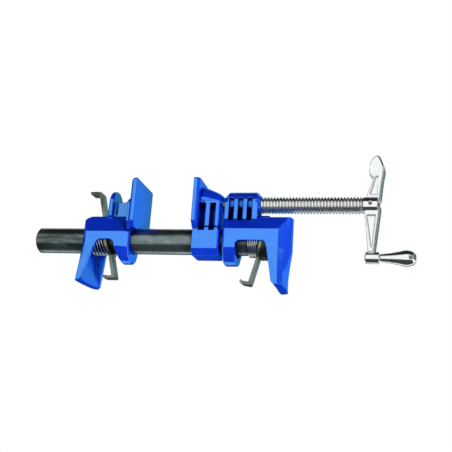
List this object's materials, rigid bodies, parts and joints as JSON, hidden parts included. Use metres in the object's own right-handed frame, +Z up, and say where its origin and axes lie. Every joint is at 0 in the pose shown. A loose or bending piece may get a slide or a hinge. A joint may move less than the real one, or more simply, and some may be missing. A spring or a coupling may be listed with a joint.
{
  "type": "woodworking pipe clamp",
  "caption": "Clamp for gluing boards: a sliding tail jaw and a crank-driven jaw press towards each other along a steel pipe, held by spring clutches in two footed castings.",
  "frame": {"origin": "middle of the clamp's box at the level of the two soles, on the plane of symmetry", "axes": "+X along the pipe from the tail jaw to the head and its crank, +Z up from the soles, +Y away from the side that shows the tail's and head's arches"},
  "size_m": [0.3892, 0.056, 0.1362],
  "materials": {
    "blue_enamel": "glossy enamel over cast iron",
    "black_pipe_steel": "dark oiled mill finish",
    "zinc_plated_steel": "zinc plated",
    "blackened_steel": "black oxide",
    "spring_steel": "bright wire",
    "nickel_screw_steel": "nickel plated",
    "bright_chrome": "polished chrome"
  },
  "bodies": {
    "head": {"head_casting": "blue_enamel", "head_clutch_spring": "spring_steel"},
    "pipe": {"pipe": "black_pipe_steel"},
    "tail": {"tail_casting": "blue_enamel", "tail_clutch_spring": "spring_steel"},
    "tail_lever": {"tail_clutch_lever": "zinc_plated_steel"},
    "head_clutch": {"head_clutch_lever": "zinc_plated_steel", "head_clutch_plate_1": "blackened_steel", "head_clutch_plate_2": "blackened_steel"},
    "jaw": {"sliding_jaw": "blue_enamel", "screw_retaining_pins": "zinc_plated_steel"},
    "screw": {"screw": "nickel_screw_steel", "crank_arm": "bright_chrome", "crank_pin": "zinc_plated_steel", "knob_spindle": "bright_chrome"},
    "knob": {"knob": "bright_chrome"}
  },
  "joints": [
    {"name": "pipe_slide", "type": "slide", "parent": "head", "child": "pipe", "axis": [1, 0, 0], "range_m": [-0.045, 0]},
    {"name": "tail_slide", "type": "slide", "parent": "pipe", "child": "tail", "axis": [1, 0, 0], "range_m": [-0.048, 0.01]},
    {"name": "tail_clutch_tilt", "type": "hinge", "parent": "tail", "child": "tail_lever", "pos_m": [-0.1165, 0, 0.0467], "axis": [0, 1, 0], "range_deg": [0, 10], "stiffness_Nm_per_rad": 0.6, "deforming": ["tail_clutch_spring"]},
    {"name": "head_clutch_tilt", "type": "hinge", "parent": "head", "child": "head_clutch", "pos_m": [0.05046, 0, 0.0467], "axis": [0, -1, 0], "range_deg": [0, 10], "stiffness_Nm_per_rad": 0.6, "deforming": ["head_clutch_spring"]},
    {"name": "jaw_slide", "type": "slide", "parent": "head", "child": "jaw", "axis": [-1, 0, 0], "range_m": [0, 0.046]},
    {"name": "screw_turn", "type": "hinge", "parent": "jaw", "child": "screw", "pos_m": [0, 0, 0.0858], "axis": [-1, 0, 0], "continuous": true},
    {"name": "knob_spin", "type": "hinge", "parent": "screw", "child": "knob", "pos_m": [0.17, 0, 0.033], "axis": [1, 0, 0], "continuous": true}
  ],
  "couplings": [
    {"joint": "screw_turn", "follows": "jaw_slide", "rad_per_m": 1979}
  ]
}
